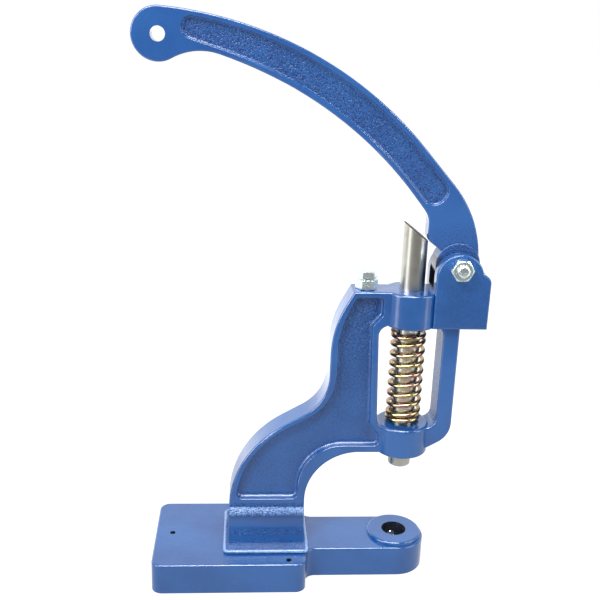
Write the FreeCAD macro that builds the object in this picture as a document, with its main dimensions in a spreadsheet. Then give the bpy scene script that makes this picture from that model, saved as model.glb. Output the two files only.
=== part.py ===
import FreeCAD, Part
import Sketcher
import math
import os

# Hand eyelet press: a cast frame with a base plate and a die arm, a curved
# lever on a bolt between two ears, and a sprung ram that the lever's nose
# pushes down. Millimetres. The origin is on the ram's axis at the underside
# of the base, +X points to the die arm's end and +Y away from the viewer.

doc = FreeCAD.newDocument("EyeletPress")
V = FreeCAD.Vector

# Driving dimensions, in millimetres, degrees and counts
SIZES = {
    # base plate and die arm, seen from above
    "plateLeft": 209.5,
    "plateRight": 80.5,
    "plateWidth": 97.8,
    "plateCorner": 9.0,
    "baseThick": 26.6,
    "armWidth": 51.4,
    "armFillet": 9.0,
    "baseEdge": 1.6,
    "screwHoleDia": 4.5,
    "screwHoleLeft": 195.0,
    "screwHoleRight": 95.3,
    "screwHoleSpacing": 83.6,
    # die seat at the arm's end
    "diePadDia": 47.0,
    "diePadHeight": 3.4,
    "diePadEdge": 1.8,
    "dieBoreDia": 21.4,
    "dieScrewHeight": 17.0,
    "dieScrewDia": 8.0,
    "dieScrewLength": 18.0,
    "dieScrewKey": 4.0,
    "dieScrewKeyDepth": 5.0,
    "dieScrewBack": 0.3,
    # foot of the column
    "footPadLeft": 149.0,
    "footPadRight": 79.5,
    "footPadWidth": 64.0,
    "footPadHeight": 2.0,
    "footPadEdge": 0.9,
    "coveTop": 56.0,
    "coveSpread": 6.5,
    "coveSink": 1.0,
    "columnSink": 2.0,
    # column and frame, seen from the front
    "frameThick": 26.0,
    "frameEdge": 1.8,
    "frameTop": 253.0,
    "frameTopLeft": 48.3,
    "frameTopCorner": 2.0,
    "shoulderHeight": 222.5,
    "shoulderRadius": 88.0,
    "columnLeft": 65.0,
    "bendHeight": 156.9,
    "bendRadius": 40.0,
    "heelLeft": 146.0,
    "heelHeight": 110.2,
    "heelRadius": 87.0,
    "throatLeft": 81.7,
    "throatTop": 111.4,
    "throatRadius": 45.0,
    "barRight": 39.7,
    "barBottom": 126.8,
    "barCorner": 20.0,
    "barFoot": 114.4,
    "barFootAcross": 18.0,
    "recessDepth": 6.0,
    "panelFloorEdge": 2.5,
    "panelCorner": 5.0,
    "panelHeelCorner": 4.0,
    "panelTightCorner": 3.5,
    "panelBossGap": 1.5,
    "panelBossLap": 1.0,
    "panelEdge": 1.0,
    "sideRim": 6.0,
    "topRim": 4.5,
    "slopeRim": 3.8,
    "throatRim": 6.4,
    "footRim": 67.3,
    "windowRimTop": 5.3,
    "windowRimFoot": 6.0,
    "windowLeftTop": 26.8,
    "windowLeftFoot": 23.2,
    "windowRight": 26.4,
    "windowTop": 224.7,
    "windowBottom": 134.5,
    "windowCorner": 8.5,
    # guide bosses for the ram
    "bossDia": 45.0,
    "upperBossBottom": 223.6,
    "lowerBossTop": 136.0,
    "lowerBossBottom": 110.0,
    "bossEdge": 2.0,
    # ears that carry the lever
    "blockRight": 60.0,
    "blockBottom": 224.5,
    "blockTopDrop": 4.9,
    "blockWidth": 38.0,
    "blockEdge": 1.8,
    "blockCorner": 8.0,
    "earCentre": 34.5,
    "earDrop": 8.0,
    "earRadius": 19.0,
    "slotWidth": 18.4,
    "slotFloorDrop": 19.0,
    "slotEnd": 53.4,
    # lever, its heights given from the pivot
    "pivotAcross": 33.8,
    "pivotHeight": 275.5,
    "hubRadius": 18.0,
    "hubWidth": 17.8,
    "hubEdge": 0.8,
    "leverThick": 15.6,
    "leverEdge": 1.6,
    "leverRecess": 3.0,
    "leverFloorEdge": 1.8,
    "leverRimEdge": 0.8,
    "leverRim": 4.0,
    "eyeLeft": 201.0,
    "eyeRise": 168.5,
    "eyeRadius": 19.7,
    "eyeHoleDia": 11.0,
    "backStart": 3.7,
    "backSlope": 47.9,
    "backAcross": 10.6,
    "backRise": 81.2,
    "backRadius": 296.0,
    "rootRadius": 94.0,
    "rootAcross": 16.9,
    "bellyAcross": -18.2,
    "bellyRise": 70.8,
    "bellySlope": 50.7,
    "bellyNeckSlope": 16.6,
    "bellyCornerAcross": -65.2,
    "bellyRadius": 308.6,
    "neckSlope": 29.4,
    "neckRadius": 44.0,
    "noseLeft": 8.2,
    "noseTip": 6.5,
    "noseThroat": 18.0,
    "noseGap": 0.45,
    "noseLength": 19.0,
    "recessLeft": 184.0,
    "recessLean": 10.0,
    "recessEndRise": 3.7,
    "recessRound": 0.46,
    # ram
    "ramDia": 20.0,
    "ramBottom": 96.0,
    "ramTopRise": 25.6,
    "ramSlope": 37.6,
    "ramStubDia": 19.0,
    "ramStubLength": 7.0,
    "ramChamfer": 1.0,
    "dieSocketDia": 6.8,
    "dieSocketDepth": 22.0,
    "pinDia": 4.0,
    "pinLength": 30.0,
    "pinHeight": 221.3,
    "pinChamfer": 0.5,
    # return spring
    "wireDia": 3.5,
    "springDia": 29.6,
    "springSeat": 0.25,
    "closedPitch": 4.0,
    "closedTurnsLow": 1.25,
    "closedTurnsHigh": 1.0,
    "springTurns": 10.5,
    # threaded fasteners
    "runningGap": 0.05,
    "threadGap": 0.03,
    "boltDia": 10.0,
    "hexAcross": 16.0,
    "headHeight": 6.4,
    "nutHeight": 8.4,
    "boltEnd": 3.2,
    "boltChamfer": 1.0,
    "hexConeRise": 0.9,
    "hexFlatShare": 0.97,
    "stopAcross": 37.3,
    "stopHeadBottom": 262.4,
    "stopDepth": 14.0,
    "stopTipGap": 1.0,
    "seatGap": 0.02,
}

sheet = doc.addObject("Spreadsheet::Sheet", "Sizes")
for row, (alias, value) in enumerate(SIZES.items(), start=1):
    sheet.set("A%d" % row, alias)
    sheet.set("B%d" % row, str(value))
    sheet.setAlias("B%d" % row, alias)
doc.recompute()


def size(name):
    return float(getattr(sheet, name))


def bind(obj, prop, formula):
    """Ties a property to a formula of sheet names, each written as <name>."""
    obj.setExpression(prop, formula.replace("<", "Sizes.").replace(">", ""))


# Flat outlines

def roundedCorner(before, corner, after, radius):
    """Start, middle and end of the arc that rounds one corner of an outline."""
    back = (before - corner).normalize()
    ahead = (after - corner).normalize()
    half = back.getAngle(ahead) / 2
    reach = radius / math.tan(half)
    inward = (back + ahead).normalize()
    middle = corner + inward * (radius / math.sin(half) - radius)
    return corner + back * reach, middle, corner + ahead * reach


def arcCentre(before, corner, after, radius):
    """Centre of the arc that rounds one corner of an outline."""
    back = (before - corner).normalize()
    ahead = (after - corner).normalize()
    half = back.getAngle(ahead) / 2
    return corner + (back + ahead).normalize() * (radius / math.sin(half))


def outlineEdges(corners):
    """Lines and tangent arcs of a closed outline of (x, y, radius) corners."""
    points = [V(c[0], c[1], 0) for c in corners]
    count = len(points)
    spans = []
    for i, corner in enumerate(corners):
        if corner[2] > 0:
            spans.append(roundedCorner(points[i - 1], points[i], points[(i + 1) % count], corner[2]))
        else:
            spans.append((points[i], None, points[i]))
    edges = []
    for i, (start, middle, end) in enumerate(spans):
        if middle is not None:
            edges.append(Part.Arc(start, middle, end))
        following = spans[(i + 1) % count][0]
        if (following - end).Length > 1e-4:
            edges.append(Part.LineSegment(end, following))
    return edges


FRONT = FreeCAD.Rotation(V(1, 0, 0), 90)
SIDE = FreeCAD.Rotation(V(1, 1, 1), 120)


def sketch(name, corners, base=V(0, 0, 0), rotation=FreeCAD.Rotation()):
    made = doc.addObject("Sketcher::SketchObject", name)
    made.Placement = FreeCAD.Placement(base, rotation)
    made.addGeometry(outlineEdges(corners), False)
    return made


def extrude(name, profile, forward, backward="0"):
    """A solid along the profile's own normal, by formulas for both lengths."""
    made = doc.addObject("Part::Extrusion", name)
    made.Base = profile
    made.DirMode = "Normal"
    made.Solid = True
    bind(made, "LengthFwd", forward)
    bind(made, "LengthRev", backward)
    return made


def cylinder(name, radius, height, at, rotation=FreeCAD.Rotation()):
    """A cylinder by formulas for its radius, its height and its base point."""
    made = doc.addObject("Part::Cylinder", name)
    made.Placement = FreeCAD.Placement(V(0, 0, 0), rotation)
    bind(made, "Radius", radius)
    bind(made, "Height", height)
    for letter, formula in zip("xyz", at):
        bind(made, "Placement.Base." + letter, formula)
    return made


def box(name, length, width, height, at):
    made = doc.addObject("Part::Box", name)
    bind(made, "Length", length)
    bind(made, "Width", width)
    bind(made, "Height", height)
    for letter, formula in zip("xyz", at):
        bind(made, "Placement.Base." + letter, formula)
    return made


def fuse(name, pieces):
    made = doc.addObject("Part::MultiFuse", name)
    made.Shapes = pieces
    made.Refine = True
    return made


def cut(name, base, tool):
    made = doc.addObject("Part::Cut", name)
    made.Base = base
    made.Tool = tool
    return made


def fillet(name, base, radius, chosen):
    """Rounds the edges of a recomputed base for which chosen(edge) is true."""
    doc.recompute()
    made = doc.addObject("Part::Fillet", name)
    made.Base = base
    made.Edges = [(i, radius, radius) for i, edge in enumerate(base.Shape.Edges, start=1) if chosen(edge)]
    return made


def chamfer(name, base, reach, chosen):
    doc.recompute()
    made = doc.addObject("Part::Chamfer", name)
    made.Base = base
    made.Edges = [(i, reach, reach) for i, edge in enumerate(base.Shape.Edges, start=1) if chosen(edge)]
    return made


def flatAt(edge, axis, value, slack=1e-3):
    """True for an edge that lies in the plane axis = value."""
    bounds = edge.BoundBox
    low = getattr(bounds, axis + "Min")
    high = getattr(bounds, axis + "Max")
    return abs(low - value) < slack and abs(high - value) < slack


def middleOf(edge):
    return edge.valueAt((edge.FirstParameter + edge.LastParameter) / 2)


# Body casting: base plate, die arm and foot

ALONG_Y = FreeCAD.Rotation(V(1, 0, 0), -90)
halfPlate = size("plateWidth") / 2
halfArm = size("armWidth") / 2
planCorners = [
    (-size("plateLeft"), halfPlate, size("plateCorner")),
    (-size("plateRight"), halfPlate, size("plateCorner")),
    (-size("plateRight"), halfArm, size("armFillet")),
    (halfArm, halfArm, halfArm),
    (halfArm, -halfArm, halfArm),
    (-size("plateRight"), -halfArm, size("armFillet")),
    (-size("plateRight"), -halfPlate, size("plateCorner")),
    (-size("plateLeft"), -halfPlate, size("plateCorner")),
]
baseOutline = sketch("BaseOutline", planCorners)
baseSolid = extrude("BaseSolid", baseOutline, "<baseThick>")
base = fillet("BasePlate", baseSolid, size("baseEdge"), lambda e: flatAt(e, "Z", size("baseThick")))

padSolid = cylinder("DiePadSolid", "<diePadDia> / 2", "<diePadHeight> + <baseThick> / 2",
                    ("0", "0", "<baseThick> / 2"))
diePad = fillet("DiePad", padSolid, size("diePadEdge"),
                lambda e: flatAt(e, "Z", size("baseThick") + size("diePadHeight")))

footSolid = box("FootPadSolid", "<footPadLeft> - <footPadRight>", "<footPadWidth>",
                "<baseThick> / 2 + <footPadHeight>",
                ("-<footPadLeft>", "-<footPadWidth> / 2", "<baseThick> / 2"))
footPad = fillet("FootPad", footSolid, size("footPadEdge"),
                 lambda e: flatAt(e, "Z", size("baseThick") + size("footPadHeight")))

# The cove spreads the column's flat faces towards the foot pad
halfFrame = size("frameThick") / 2
padTop = size("baseThick") + size("footPadHeight")
coveRise = size("coveTop") - padTop
coveRadius = (size("coveSpread") ** 2 + coveRise ** 2) / (2 * size("coveSpread"))
turn = math.asin(coveRise / coveRadius) / 2
coveEdges = []
for sign in (-1, 1):
    high = V(sign * halfFrame, size("coveTop"), 0)
    middle = V(sign * (halfFrame + coveRadius * (1 - math.cos(turn))),
               size("coveTop") - coveRadius * math.sin(turn), 0)
    low = V(sign * (halfFrame + size("coveSpread")), padTop, 0)
    foot = V(sign * (halfFrame + size("coveSpread")), padTop - size("coveSink"), 0)
    coveEdges += [Part.Arc(high, middle, low), Part.LineSegment(low, foot)]
coveEdges.append(Part.LineSegment(V(-halfFrame, size("coveTop"), 0), V(halfFrame, size("coveTop"), 0)))
coveEdges.append(Part.LineSegment(V(-halfFrame - size("coveSpread"), padTop - size("coveSink"), 0),
                                  V(halfFrame + size("coveSpread"), padTop - size("coveSink"), 0)))
coveSketch = doc.addObject("Sketcher::SketchObject", "CoveOutline")
coveSketch.Placement = FreeCAD.Placement(V(-size("heelLeft"), 0, 0), SIDE)
coveSketch.addGeometry(coveEdges, False)
cove = extrude("Cove", coveSketch, "<heelLeft> - <throatLeft>")

# Column and frame, one outline seen from the front, with the spring's window
columnFoot = size("baseThick") - size("columnSink")
frameCorners = [
    (-size("heelLeft"), columnFoot, 0),
    (-size("heelLeft"), size("heelHeight"), size("heelRadius")),
    (-size("columnLeft"), size("bendHeight"), size("bendRadius")),
    (-size("columnLeft"), size("shoulderHeight"), size("shoulderRadius")),
    (-size("frameTopLeft"), size("frameTop"), size("frameTopCorner")),
    (size("barRight"), size("frameTop"), 0),
    (size("barRight"), size("barBottom"), size("barCorner")),
    (size("barFootAcross"), size("barFoot"), 0),
    (0, size("barFoot"), 0),
    (0, size("throatTop"), 0),
    (-size("throatLeft"), size("throatTop"), size("throatRadius")),
    (-size("throatLeft"), columnFoot, 0),
]
frameOutline = sketch("FrameOutline", frameCorners, rotation=FRONT)
framePlate = extrude("FramePlate", frameOutline, "<frameThick> / 2", "<frameThick> / 2")
windowCorners = [
    (-size("windowLeftFoot"), size("windowBottom"), size("windowCorner")),
    (-size("windowLeftTop"), size("windowTop"), size("windowCorner")),
    (size("windowRight"), size("windowTop"), size("windowCorner")),
    (size("windowRight"), size("windowBottom"), size("windowCorner")),
]
windowOutline = sketch("WindowOutline", windowCorners, rotation=FRONT)
windowTool = extrude("WindowTool", windowOutline, "<frameThick>", "<frameThick>")
openFrame = cut("OpenFrame", framePlate, windowTool)
outerFrame = fillet("OuterFrame", openFrame, size("frameEdge"),
                    lambda e: (flatAt(e, "Y", halfFrame) or flatAt(e, "Y", -halfFrame))
                    and not flatAt(e, "Z", columnFoot))

# The sunk panel keeps a rim of its own width along each side of the column


def meet(first, alongFirst, second, alongSecond):
    """Point where two lines cross, each a point and a direction."""
    cross = alongFirst.x * alongSecond.y - alongFirst.y * alongSecond.x
    gap = second - first
    return first + alongFirst * ((gap.x * alongSecond.y - gap.y * alongSecond.x) / cross)


UPWARDS = V(0, 1, 0)
heelCorner = V(-size("heelLeft"), size("heelHeight"), 0)
bendCorner = V(-size("columnLeft"), size("bendHeight"), 0)
shoulderCorner = V(-size("columnLeft"), size("shoulderHeight"), 0)
topCorner = V(-size("frameTopLeft"), size("frameTop"), 0)
backSlopeAlong = (bendCorner - heelCorner).normalize()
topSlopeAlong = (topCorner - shoulderCorner).normalize()
heelLine = V(size("sideRim") - size("heelLeft"), 0, 0)
columnLine = bendCorner + V(size("sideRim"), 0, 0)
slopeLine = bendCorner + V(backSlopeAlong.y, -backSlopeAlong.x, 0) * size("slopeRim")
topLine = topCorner + V(topSlopeAlong.y, -topSlopeAlong.x, 0) * size("topRim")
underTop = V(0, size("frameTop") - size("topRim"), 0)
panelHeel = meet(heelLine, UPWARDS, slopeLine, backSlopeAlong)
panelBend = meet(columnLine, UPWARDS, slopeLine, backSlopeAlong)
panelShoulder = meet(columnLine, UPWARDS, topLine, topSlopeAlong)
panelTop = meet(underTop, V(1, 0, 0), topLine, topSlopeAlong)

# The panel's foot corner lies on the heel's arc, so its side leans with the arc
heelInner = size("heelRadius") - size("sideRim")
heelCentre = arcCentre(heelLine, panelHeel, panelBend, heelInner)
heelLean = math.asin((size("footRim") + size("panelCorner") - heelCentre.y) / heelInner)
heelLeave = heelCentre + V(-math.cos(heelLean), math.sin(heelLean), 0) * heelInner
heelAlong = V(math.sin(heelLean), math.cos(heelLean), 0)
panelHeel = meet(heelLeave, heelAlong, slopeLine, backSlopeAlong)
panelFoot = meet(heelLeave, heelAlong, V(0, size("footRim"), 0), V(1, 0, 0))
bossSide = -size("bossDia") / 2
panelHook = size("windowTop") + size("windowCorner")
panelRight = bossSide + size("panelBossLap")
panelCorners = [
    (panelFoot.x, panelFoot.y, size("panelHeelCorner")),
    (panelHeel.x, panelHeel.y, heelInner),
    (panelBend.x, panelBend.y, size("bendRadius") + size("slopeRim")),
    (panelShoulder.x, panelShoulder.y, size("shoulderRadius") - size("sideRim")),
    (panelTop.x, panelTop.y, size("panelTightCorner")),
    (bossSide - size("panelBossGap"), underTop.y, size("panelTightCorner")),
    (bossSide - size("panelBossGap"), panelHook, size("panelCorner")),
    (-size("windowLeftTop") - size("windowRimTop"), size("windowTop"), size("panelCorner")),
    (-size("windowLeftFoot") - size("windowRimFoot"), size("windowBottom") + size("panelTightCorner"),
     size("panelCorner")),
    (panelRight, size("windowBottom") - size("windowRimFoot"), size("panelTightCorner")),
    (panelRight, size("throatTop") + size("throatRim"), size("panelTightCorner")),
    (-size("throatLeft") - size("throatRim"), size("throatTop") + size("throatRim"),
     size("throatRadius") - size("throatRim")),
    (-size("throatLeft") - size("throatRim"), size("footRim"), size("panelCorner")),
]


def sunkTool(name, corners, sign, face, depth, edge):
    """A tool that sinks a panel into the face at y = sign * face, with a
    rounded foot all round its floor."""
    outline = sketch(name + "Outline", corners, V(0, sign * size(face) / 2, 0), FRONT)
    inwardOnly = "<%s>" % depth
    outwards = "1"
    if sign < 0:
        block = extrude(name + "Block", outline, outwards, inwardOnly)
    else:
        block = extrude(name + "Block", outline, inwardOnly, outwards)
    floor = sign * (size(face) / 2 - size(depth))
    return outline, fillet(name + "Tool", block, size(edge), lambda e: flatAt(e, "Y", floor))


panelFront, panelFrontTool = sunkTool("PanelFront", panelCorners, -1, "frameThick", "recessDepth",
                                      "panelFloorEdge")
panelBack, panelBackTool = sunkTool("PanelBack", panelCorners, 1, "frameThick", "recessDepth",
                                    "panelFloorEdge")
frontCut = cut("FrontPanelCut", outerFrame, panelFrontTool)
sunkFrame = cut("SunkFrame", frontCut, panelBackTool)


def onOutline(edge, outlines):
    """True for an edge whose middle lies on one of the outlines."""
    point = Part.Vertex(middleOf(edge))
    return any(point.distToShape(outline.Shape)[0] < 1e-3 for outline in outlines)


frame = fillet("Frame", sunkFrame, size("panelEdge"), lambda e: onOutline(e, [panelFront, panelBack]))

# Guide bosses for the ram, and the block with the two ears
upperSolid = cylinder("UpperBossSolid", "<bossDia> / 2", "<frameTop> - <upperBossBottom>",
                      ("0", "0", "<upperBossBottom>"))
upperBoss = fillet("UpperBoss", upperSolid, size("bossEdge"),
                   lambda e: flatAt(e, "Z", size("frameTop")) or flatAt(e, "Z", size("upperBossBottom")))
lowerSolid = cylinder("LowerBossSolid", "<bossDia> / 2", "<lowerBossTop> - <lowerBossBottom>",
                      ("0", "0", "<lowerBossBottom>"))
lowerBoss = fillet("LowerBoss", lowerSolid, size("bossEdge"),
                   lambda e: flatAt(e, "Z", size("lowerBossTop")) or flatAt(e, "Z", size("lowerBossBottom")))

halfBlock = size("blockWidth") / 2
earHeight = size("pivotHeight") - size("earDrop")
earTop = earHeight + size("earRadius")
blockTop = size("pivotHeight") - size("blockTopDrop")
earOutline = sketch("EarOutline", [
    (size("earCentre") - size("earRadius"), size("blockBottom"), 0),
    (size("earCentre") - size("earRadius"), earTop, size("earRadius")),
    (size("earCentre") + size("earRadius"), earTop, size("earRadius")),
    (size("earCentre") + size("earRadius"), size("blockBottom"), 0),
], rotation=FRONT)
blockOutline = sketch("BlockOutline", [
    (size("earCentre"), size("blockBottom"), 0),
    (size("earCentre"), blockTop, 0),
    (size("blockRight"), blockTop, size("blockCorner")),
    (size("blockRight"), size("blockBottom"), 0),
], rotation=FRONT)
earBlock = fuse("EarBlock", [
    extrude("EarSolid", earOutline, "<blockWidth> / 2", "<blockWidth> / 2"),
    extrude("BlockSolid", blockOutline, "<blockWidth> / 2", "<blockWidth> / 2"),
])
earRound = fillet("EarRound", earBlock, size("blockEdge"),
                  lambda e: flatAt(e, "Y", halfBlock) or flatAt(e, "Y", -halfBlock))
slotTool = box("SlotTool", "<slotEnd>", "<slotWidth>", "<frameTop>",
               ("0", "-<slotWidth> / 2", "<pivotHeight> - <slotFloorDrop>"))
ears = cut("Ears", earRound, slotTool)

casting = fuse("CastingSolid", [base, diePad, footPad, cove, frame, upperBoss, lowerBoss, ears])

# Bores, screw holes and the two threaded seats
bores = [
    cylinder("RamBore", "<ramDia> / 2 + <runningGap>", "<frameTop>", ("0", "0", "<throatTop> / 2")),
    cylinder("DieBore", "<dieBoreDia> / 2", "<baseThick> * 2", ("0", "0", "-1")),
    cylinder("PivotBore", "<boltDia> / 2 + <runningGap>", "<blockWidth> * 2",
             ("<pivotAcross>", "-<blockWidth>", "<pivotHeight>"), ALONG_Y),
    cylinder("StopBore", "<boltDia> / 2 + <threadGap>", "<stopDepth> * 2",
             ("-<stopAcross>", "0", "<frameTop> - <stopDepth>")),
    cylinder("DieScrewBore", "<dieScrewDia> / 2 + <runningGap>", "<armWidth>",
             ("0", "0", "<dieScrewHeight>"), ALONG_Y),
    cylinder("LeftScrewHole", "<screwHoleDia> / 2", "<baseThick> * 2", ("-<screwHoleLeft>", "0", "-1")),
    cylinder("FrontScrewHole", "<screwHoleDia> / 2", "<baseThick> * 2",
             ("-<screwHoleRight>", "-<screwHoleSpacing> / 2", "-1")),
    cylinder("BackScrewHole", "<screwHoleDia> / 2", "<baseThick> * 2",
             ("-<screwHoleRight>", "<screwHoleSpacing> / 2", "-1")),
]
boreTool = fuse("BoreTools", bores)
boreTool.Refine = False
bodyCasting = cut("BodyCasting", casting, boreTool)
bodyCasting.Label = "body_casting"

# Lever: an eye, a curved tapering blade, a nose over the ram and a hub

pivot = V(size("pivotAcross"), size("pivotHeight"), 0)
eye = V(-size("eyeLeft"), size("pivotHeight") + size("eyeRise"), 0)
ramAxisTop = size("pivotHeight") + size("ramTopRise")


def heading(degrees):
    return V(math.cos(math.radians(degrees)), math.sin(math.radians(degrees)), 0)


backAlong = heading(-size("backStart"))
backDown = heading(-size("backSlope"))
backTop = eye + V(-backAlong.y, backAlong.x, 0) * size("eyeRadius")
backPoint = V(size("backAcross"), size("pivotHeight") + size("backRise"), 0)
backCorner = meet(backTop, backAlong, backPoint, backDown)
hubRight = pivot + V(size("rootAcross"), 0, 0)
rootCorner = meet(backPoint, backDown, hubRight, UPWARDS)

slope = heading(-size("ramSlope"))
faceGap = V(-slope.y, slope.x, 0) * size("noseGap")
faceAt = V(0, ramAxisTop, 0) + faceGap
noseSide = V(size("noseLeft"), 0, 0)
noseCorner = meet(faceAt, slope, noseSide, UPWARDS)
noseInner = noseCorner + slope * size("noseLength")

bellyUp = heading(-size("bellySlope")) * -1
bellyPoint = V(size("bellyAcross"), size("pivotHeight") + size("bellyRise"), 0)
throatCorner = meet(bellyPoint, bellyUp, noseSide, UPWARDS)
bellyCorner = meet(bellyPoint, bellyUp, V(size("bellyCornerAcross"), 0, 0), UPWARDS)
neckAlong = heading(-size("bellyNeckSlope")) * -1
neckDown = heading(size("neckSlope")) * -1
neckPoint = eye + V(-neckDown.y, neckDown.x, 0) * size("eyeRadius")
neckCorner = meet(bellyCorner, neckAlong, neckPoint, neckDown)

bladeCorners = [
    (backTop.x, backTop.y, 0),
    (backCorner.x, backCorner.y, size("backRadius")),
    (rootCorner.x, rootCorner.y, size("rootRadius")),
    (hubRight.x, hubRight.y, 0),
    (pivot.x, pivot.y, 0),
    (noseInner.x, noseInner.y, 0),
    (noseCorner.x, noseCorner.y, size("noseTip")),
    (throatCorner.x, throatCorner.y, size("noseThroat")),
    (bellyCorner.x, bellyCorner.y, size("bellyRadius")),
    (neckCorner.x, neckCorner.y, size("neckRadius")),
    (neckPoint.x, neckPoint.y, 0),
]
bladeOutline = sketch("BladeOutline", bladeCorners, rotation=FRONT)
blade = extrude("Blade", bladeOutline, "<leverThick> / 2", "<leverThick> / 2")
eyeSolid = cylinder("EyeSolid", "<eyeRadius>", "<leverThick>",
                    ("-<eyeLeft>", "-<leverThick> / 2", "<pivotHeight> + <eyeRise>"), ALONG_Y)
hubCore = cylinder("HubCore", "<rootAcross>", "<leverThick>",
                   ("<pivotAcross>", "-<leverThick> / 2", "<pivotHeight>"), ALONG_Y)
leverSolid = fuse("LeverSolid", [blade, eyeSolid, hubCore])
halfLever = size("leverThick") / 2
leverRound = fillet("LeverRound", leverSolid, size("leverEdge"),
                    lambda e: flatAt(e, "Y", halfLever) or flatAt(e, "Y", -halfLever))
hubSolid = cylinder("HubSolid", "<hubRadius>", "<hubWidth>",
                    ("<pivotAcross>", "-<hubWidth> / 2", "<pivotHeight>"), ALONG_Y)
halfHub = size("hubWidth") / 2
hub = fillet("Hub", hubSolid, size("hubEdge"), lambda e: flatAt(e, "Y", halfHub) or flatAt(e, "Y", -halfHub))

# The sunk panel on each side of the blade follows its edges at one rim's width
inward = size("leverRim")
upperLine = backCorner + V(backAlong.y, -backAlong.x, 0) * inward
upperSlope = backCorner + V(backDown.y, -backDown.x, 0) * inward
upperBend = meet(upperLine, backAlong, upperSlope, backDown)
lowerSlope = bellyCorner + V(bellyUp.y, -bellyUp.x, 0) * inward
lowerLine = bellyCorner + V(neckAlong.y, -neckAlong.x, 0) * inward
lowerBend = meet(lowerSlope, bellyUp, lowerLine, neckAlong)
endAt = throatCorner + UPWARDS * size("recessEndRise")
endAlong = heading(-size("backSlope") - 90)
endHigh = meet(upperBend, backDown, endAt, endAlong)
endLow = meet(lowerBend, bellyUp, endAt, endAlong)
backCentre = arcCentre(backTop, backCorner, rootCorner, size("backRadius"))
backInner = size("backRadius") - inward
recessLean = math.asin((backCentre.x + size("recessLeft") - size("recessLean")) / backInner)
recessLeave = backCentre + V(-math.sin(recessLean), math.cos(recessLean), 0) * backInner
recessAlong = V(math.cos(recessLean), math.sin(recessLean), 0)
upperBend = meet(recessLeave, recessAlong, upperSlope, backDown)
leftLine = V(-size("recessLeft"), 0, 0)
leftHigh = meet(recessLeave, recessAlong, leftLine, UPWARDS)
leftLow = meet(lowerBend, neckAlong, leftLine, UPWARDS)
endRound = (endHigh - endLow).Length * size("recessRound")
leftRound = (leftHigh - leftLow).Length * size("recessRound")
recessCorners = [
    (leftHigh.x, leftHigh.y, leftRound),
    (upperBend.x, upperBend.y, backInner),
    (endHigh.x, endHigh.y, endRound),
    (endLow.x, endLow.y, endRound),
    (lowerBend.x, lowerBend.y, size("bellyRadius") + inward),
    (leftLow.x, leftLow.y, leftRound),
]
recessFront, recessFrontTool = sunkTool("RecessFront", recessCorners, -1, "leverThick", "leverRecess",
                                        "leverFloorEdge")
recessBack, recessBackTool = sunkTool("RecessBack", recessCorners, 1, "leverThick", "leverRecess",
                                      "leverFloorEdge")
leverFull = fuse("LeverFull", [leverRound, hub])
leverTools = [
    recessFrontTool,
    recessBackTool,
    cylinder("EyeHole", "<eyeHoleDia> / 2", "<leverThick> * 2",
             ("-<eyeLeft>", "-<leverThick>", "<pivotHeight> + <eyeRise>"), ALONG_Y),
    cylinder("HubHole", "<boltDia> / 2 + <runningGap>", "<hubWidth> * 2",
             ("<pivotAcross>", "-<hubWidth>", "<pivotHeight>"), ALONG_Y),
]
leverTool = fuse("LeverTools", leverTools)
leverTool.Refine = False
leverCut = cut("LeverCut", leverFull, leverTool)
lever = fillet("Lever", leverCut, size("leverRimEdge"), lambda e: onOutline(e, [recessFront, recessBack]))
lever.Label = "lever"

# Ram: a round bar with a slanted top, a cross hole and a threaded die socket

ramBar = cylinder("RamBar", "<ramDia> / 2",
                  "<pivotHeight> + <ramTopRise> + <ramDia> - <ramBottom> - <ramStubLength>",
                  ("0", "0", "<ramBottom> + <ramStubLength>"))
ramStubRaw = cylinder("RamStubRaw", "<ramStubDia> / 2", "<ramStubLength> + <ramChamfer>",
                      ("0", "0", "<ramBottom>"))
ramStub = chamfer("RamStub", ramStubRaw, size("ramChamfer"), lambda e: flatAt(e, "Z", size("ramBottom")))
ramRound = fuse("RamRound", [ramBar, ramStub])
slantTool = box("SlantTool", "<ramDia> * 4", "<ramDia> * 2", "<ramDia> * 2",
                ("0", "-<ramDia>", "<pivotHeight> + <ramTopRise>"))
slantTool.Placement.Rotation = FreeCAD.Rotation(V(0, 1, 0), size("ramSlope"))
bind(slantTool, "Placement.Base.x", "-1.5 * <ramDia> * cos(<ramSlope> * 1 deg)")
bind(slantTool, "Placement.Base.z",
     "<pivotHeight> + <ramTopRise> + 1.5 * <ramDia> * sin(<ramSlope> * 1 deg)")
ramTools = fuse("RamTools", [
    slantTool,
    cylinder("PinHole", "<pinDia> / 2", "<ramDia> * 2", ("0", "-<ramDia>", "<pinHeight>"), ALONG_Y),
    cylinder("DieSocket", "<dieSocketDia> / 2", "<dieSocketDepth>", ("0", "0", "<ramBottom>")),
])
ramTools.Refine = False
ram = cut("Ram", ramRound, ramTools)
ram.Label = "ram"

# Spring pin: it crosses the ram and takes the spring's upper end

pinRaw = cylinder("PinRaw", "<pinDia> / 2 - <seatGap>", "<pinLength>",
                  ("0", "-<pinLength> / 2", "<pinHeight>"), ALONG_Y)
springPin = chamfer("SpringPin", pinRaw, size("pinChamfer"),
                    lambda e: flatAt(e, "Y", size("pinLength") / 2) or flatAt(e, "Y", -size("pinLength") / 2))
springPin.Label = "spring_pin"


# Return spring: one unbroken wire, closed at both ends, round the ram

coilRadius = (size("springDia") - size("wireDia")) / 2
springLow = size("lowerBossTop") + size("springSeat") + size("wireDia") / 2
springHigh = size("pinHeight") - size("pinDia") / 2 - size("springSeat") - size("wireDia") / 2
turns = size("springTurns")
easing = 0.5
openTurns = turns - size("closedTurnsLow") - size("closedTurnsHigh") - easing
closedRise = size("closedPitch") * (size("closedTurnsLow") + size("closedTurnsHigh") + easing)
openPitch = (springHigh - springLow - closedRise) / openTurns


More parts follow.
